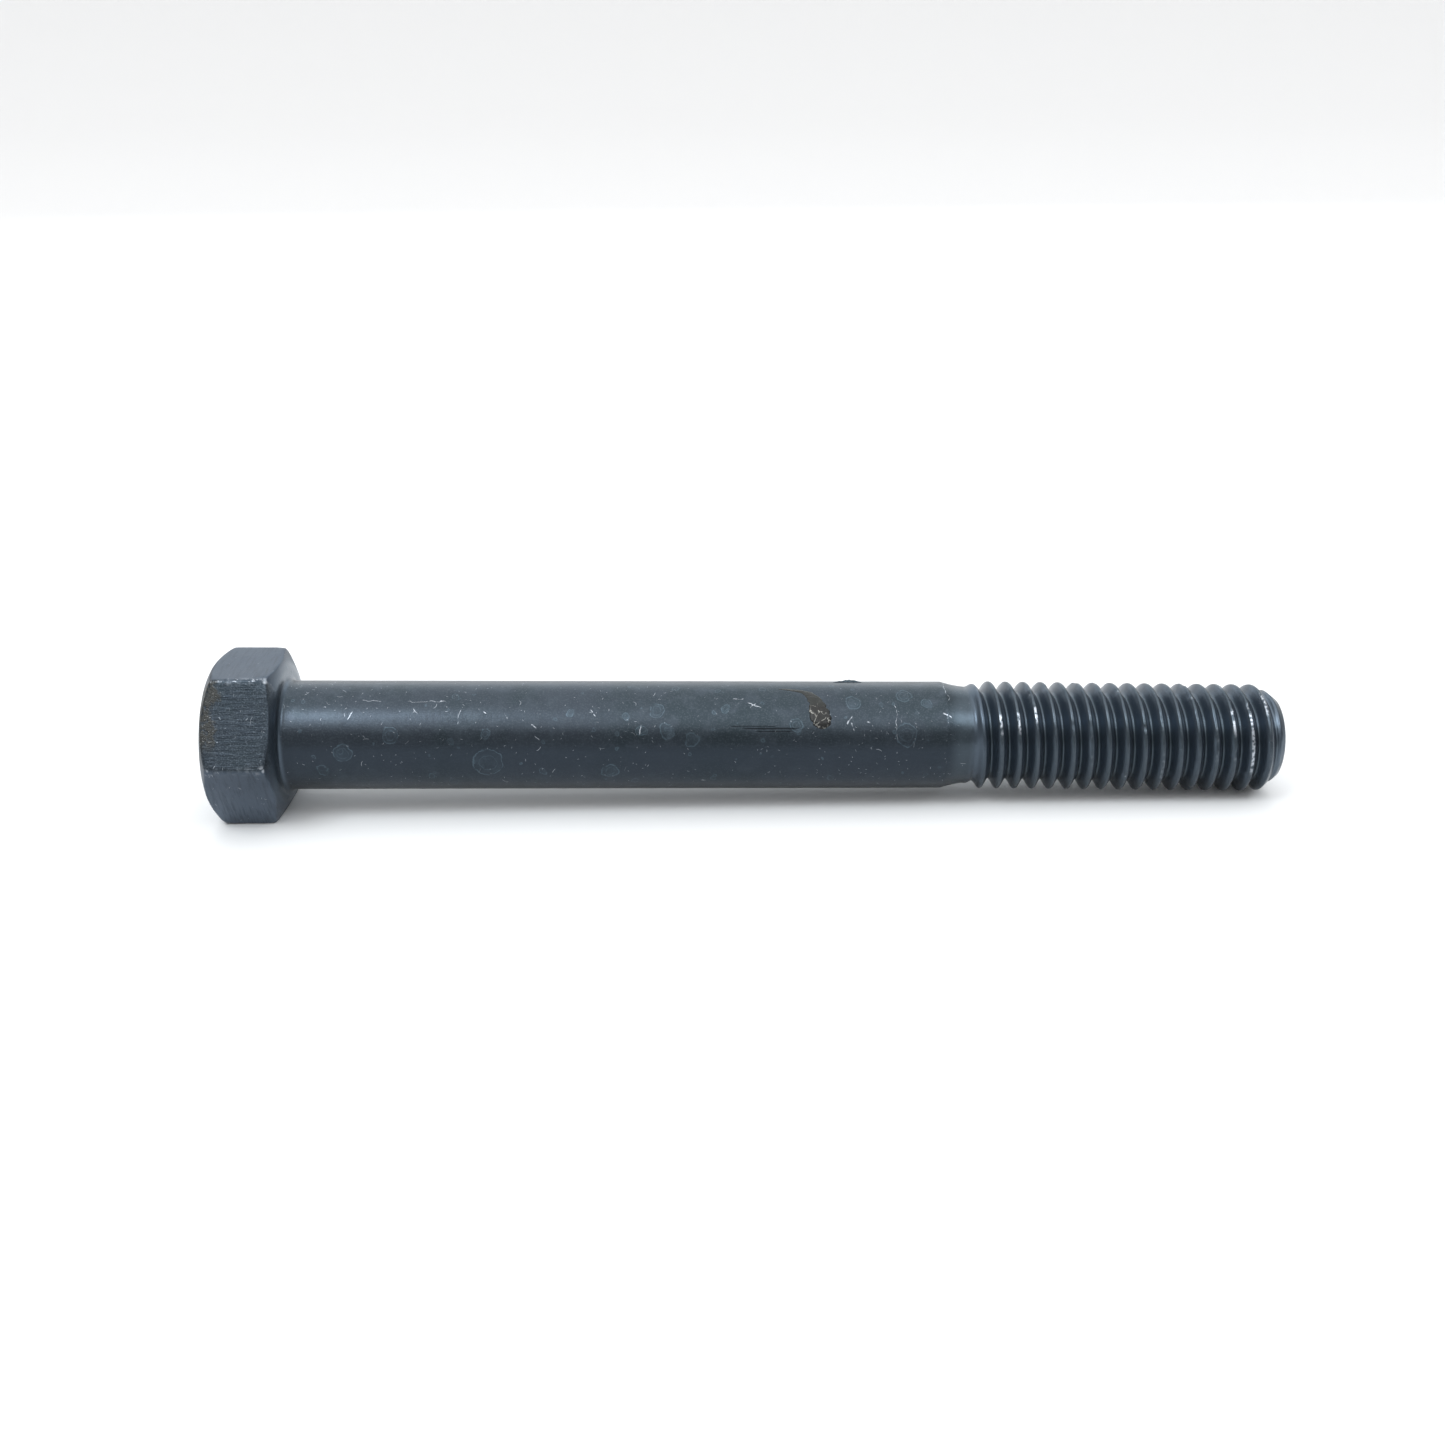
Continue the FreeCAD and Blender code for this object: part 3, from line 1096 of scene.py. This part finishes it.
def steel():
    """Heat-blackened steel: dark blue-grey oxide, water marks, scratches and rubbed edges."""
    material, tree, shader = new_material("blackened_steel")
    s = skin_facts(tree)
    burnt = burnt_scale(tree, s)
    oxide = head_colours(tree, s, burnt, oxide_colours(tree, s))
    oxide = paler_places(tree, s, oxide)

    rings, insides = water_marks(tree, s.wobbly)
    rings = both(tree, rings, s.on_body, between(tree, s.small, 0.30, 0.55))
    insides = both(tree, insides, s.on_body, between(tree, s.medium, 0.30, 0.65))
    lines = drawn_lines(tree, s.along, s.around, s.shake)
    final = laid_over(tree, oxide, [
        (insides, 0.12, (84, 102, 114)),
        (rings, 0.30, (100, 120, 132)),
        (lines, 0.75, (22, 24, 28)),
        (bare_steel(tree, s), 1.0, (178, 184, 192)),
    ])
    tree.links.new(final, shader.inputs["Base Color"])

    shader.inputs["Metallic"].default_value = 0.9
    dull = calc(tree, "MULTIPLY_ADD", s.grain, 0.14, 0.24)
    dull = plus(tree, dull, both(tree, s.on_head, 0.12))
    dull = plus(tree, dull, both(tree, insides, 0.10))
    tree.links.new(dull, shader.inputs["Roughness"])
    add_relief(tree, shader, steel_relief(tree, s, burnt, rings, lines))
    return material


def dried_residue():
    """Brown-grey dried residue, darker and cracked where it lies thick."""
    material, tree, shader = new_material("dried_residue")
    where = millimetres(tree)
    thick = between(tree, apart(tree, where)[1], -2.7, -3.5)
    mottle = noise_at(tree, where, 0.7, 4.0, 0.6)
    bent = vector_calc(tree, "ADD", where, joined(tree, mottle, mottle, mottle))
    from_crack = cells(tree, bent, 0.95, "DISTANCE_TO_EDGE").outputs["Distance"]
    crack = both(tree, between(tree, from_crack, 0.045, 0.01), between(tree, mottle, 0.47, 0.56), thick)
    body = laid_over(tree, colour(30, 33, 31), [
        (thick, 1.0, (16, 16, 15)),
        (between(tree, mottle, 0.45, 0.65), 0.6, (25, 27, 25)),
        (crack, 0.75, (160, 158, 152)),
    ])
    tree.links.new(body, shader.inputs["Base Color"])
    shader.inputs["Metallic"].default_value = 0.3
    tree.links.new(calc(tree, "MULTIPLY_ADD", mottle, 0.3, 0.25), shader.inputs["Roughness"])
    add_relief(tree, shader, both(tree, mottle, 0.12))
    return material


# ---------------------------------------------------------------- floor, light, camera

# The sweep, in metres: half its width, its front edge, where it bends up, the bend, the wall's top
SWEEP_HALF_WIDTH = 7.0
SWEEP_FRONT = -7.0
SWEEP_BEND_START = 1.2
SWEEP_BEND_RADIUS = 1.0
SWEEP_TOP = 3.0
SWEEP_BEND_STEPS = 12

# Where the lights aim, in metres
BOLT_MIDDLE = (0.045, 0.0, 0.0)
THREAD_MIDDLE = (0.08, 0.0, 0.0)
HEAD_MIDDLE = (0.0, 0.0, 0.0)


def sweep_profile():
    """The floor and the wall behind it, seen from the side, with a round bend between them."""
    profile = [(SWEEP_FRONT, 0.0), (SWEEP_BEND_START, 0.0)]
    for step in range(1, SWEEP_BEND_STEPS + 1):
        bend = math.radians(90 * step / SWEEP_BEND_STEPS)
        y = SWEEP_BEND_START + SWEEP_BEND_RADIUS * math.sin(bend)
        profile.append((y, SWEEP_BEND_RADIUS * (1.0 - math.cos(bend))))
    profile.append((SWEEP_BEND_START + SWEEP_BEND_RADIUS, SWEEP_TOP))
    return profile


def floor():
    """A pale sweep: a floor under the head's lower edge and the thread's crests, rising far behind."""
    head_x = -HEAD_HEIGHT / 2
    tip_x = LENGTH - POINT_LENGTH
    slope = (APOTHEM - CREST_RADIUS - 0.25) / (tip_x - head_x)
    material, _, shader = new_material("pale_floor")
    shader.inputs["Base Color"].default_value = (0.80, 0.80, 0.80, 1.0)
    shader.inputs["Roughness"].default_value = 0.9
    profile = sweep_profile()
    points = [(side, y, z) for y, z in profile for side in (-SWEEP_HALF_WIDTH, SWEEP_HALF_WIDTH)]
    faces = [(2 * k, 2 * k + 1, 2 * k + 3, 2 * k + 2) for k in range(len(profile) - 1)]
    mesh = bpy.data.meshes.new("floor")
    mesh.from_pydata(points, [], faces)
    mesh.shade_smooth()
    mesh.materials.append(material)
    sweep = added("floor", mesh)
    sweep.location = (head_x * MM, 0.0, (-APOTHEM - 0.03) * MM)
    sweep.rotation_euler = (0.0, -math.atan(slope), 0.0)


def pointed_light(kind, name, position, target, energy):
    """A light at a place, aimed at another."""
    data = bpy.data.lights.new(name, kind)
    data.energy = energy
    light = added(name, data)
    light.location = position
    light.rotation_euler = (Vector(target) - Vector(position)).to_track_quat("-Z", "Y").to_euler()
    return data


def softbox(name, position, target, energy, width, height):
    """A rectangular panel of slightly cool light."""
    panel = pointed_light("AREA", name, position, target, energy)
    panel.shape = "RECTANGLE"
    panel.size = width
    panel.size_y = height
    panel.color = (0.88, 0.95, 1.0)


def lights():
    """A wide soft sun overhead, a panel behind, softboxes over both ends, a white surround."""
    sun = pointed_light("SUN", "sky_panel", (0.045, -0.10, 0.60), BOLT_MIDDLE, 2.3)
    sun.angle = math.radians(90)
    softbox("head_softbox", (-0.15, -0.165, 0.33), HEAD_MIDDLE, 0.55, 0.16, 0.14)
    softbox("thread_softbox", (0.28, -0.165, 0.33), THREAD_MIDDLE, 0.32, 0.16, 0.14)
    softbox("back_panel", (0.045, 0.43, 0.27), BOLT_MIDDLE, 1.0, 0.62, 0.42)
    world = bpy.data.worlds.new("surround")
    world.use_nodes = True
    background = world.node_tree.nodes["Background"]
    background.inputs["Color"].default_value = (0.97, 0.985, 1.0, 1.0)
    background.inputs["Strength"].default_value = 0.45
    bpy.context.scene.world = world


def camera():
    """The photograph's view, with the bolt's axis level in the picture."""
    data = bpy.data.cameras.new("photo_camera")
    data.lens = CAMERA_LENS
    data.sensor_width = 36.0
    data.clip_start = 0.001
    data.clip_end = 50.0
    towards = Vector((
        -math.sin(CAMERA_YAW) * math.cos(CAMERA_ELEVATION),
        -math.cos(CAMERA_YAW) * math.cos(CAMERA_ELEVATION),
        math.sin(CAMERA_ELEVATION),
    ))
    axis = Vector((1.0, 0.0, 0.0))
    rightwards = (axis - towards * axis.dot(towards)).normalized()
    upwards = towards.cross(rightwards)
    aim = axis * CAMERA_ALONG + upwards * CAMERA_RAISED
    view = added("photo_camera", data)
    view.location = (aim + towards * CAMERA_DISTANCE) * MM
    view.rotation_euler = Matrix((rightwards, upwards, towards)).transposed().to_euler()
    bpy.context.scene.camera = view


# ---------------------------------------------------------------- the scene

bolt = bolt_object()
bolt.data.materials.append(steel())
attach(bolt, "root")
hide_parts("hex_bolt")

residue = dried_residue()
deposits = [deposit_object("dried_run", DRIED_RUN, 2)]
for number, stops in enumerate(DRIED_FLAKES):
    deposits.append(deposit_object("dried_flake_%d" % (number + 1), stops, 20 + number))
for deposit in deposits:
    deposit.data.materials.append(residue if deposit == deposits[0] else bolt.data.materials[0])
    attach(deposit, "root")

floor()
lights()
camera()
bpy.context.scene.view_settings.view_transform = "Standard"
